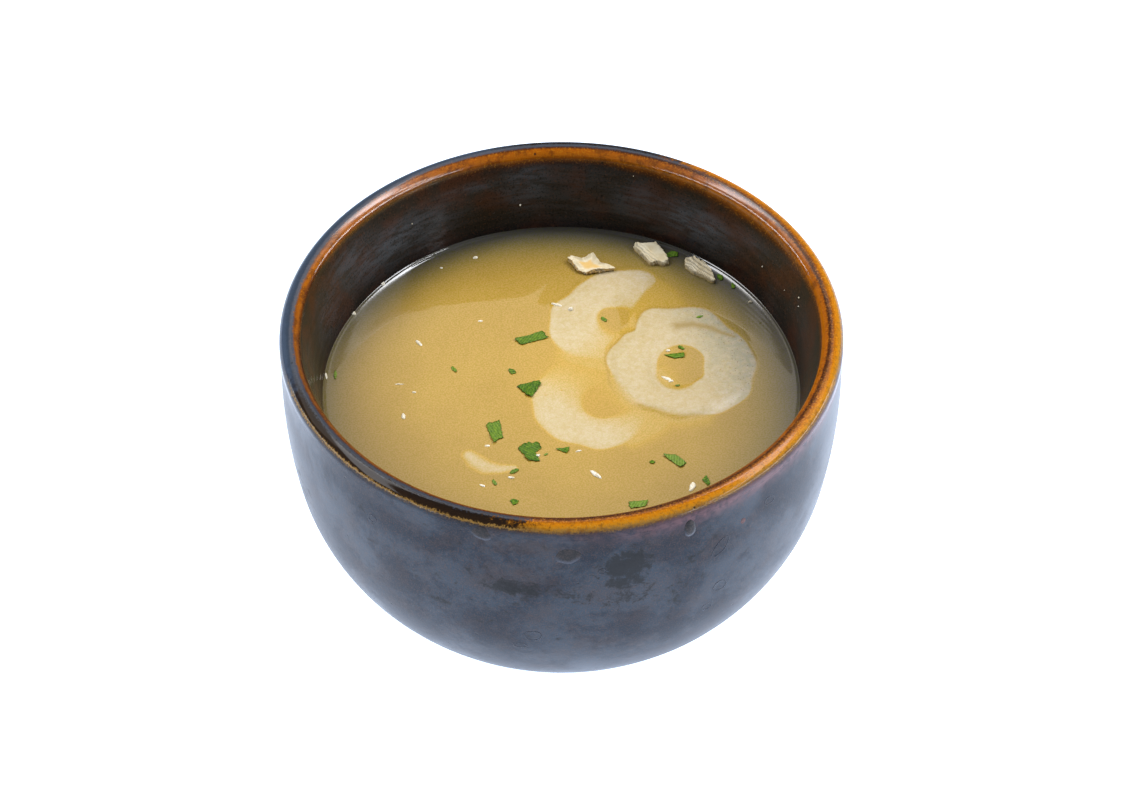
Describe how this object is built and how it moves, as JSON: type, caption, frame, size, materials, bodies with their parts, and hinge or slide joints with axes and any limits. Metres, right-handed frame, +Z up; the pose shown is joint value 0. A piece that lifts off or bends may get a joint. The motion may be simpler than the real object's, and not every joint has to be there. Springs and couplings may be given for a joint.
{
  "type": "bowl of miso soup",
  "caption": "Round glazed stoneware bowl of cloudy miso soup, with soaked wheat-gluten rings, torn pieces and chopped herb flakes floating on it.",
  "frame": {"origin": "centre of the foot ring's underside, on the surface that the bowl stands on", "axes": "+Z up along the bowl's axis, +Y away from the viewer, +X to the viewer's right"},
  "size_m": [0.12, 0.12, 0.0725],
  "materials": {
    "stoneware": "glossy fired glaze, slate blue outside, dark brown inside, amber where it runs thin at the rim",
    "broth": "wet, cloudy golden-beige liquid",
    "gluten": "wet, porous, cream",
    "herb": "fresh green leaf"
  },
  "bodies": {
    "root": {"bowl": "stoneware", "soup": "broth", "ring_front": "gluten", "ring_back": "gluten", "piece_folded": "gluten", "piece_slab": "gluten", "piece_layered": "gluten"}
  },
  "joints": []
}
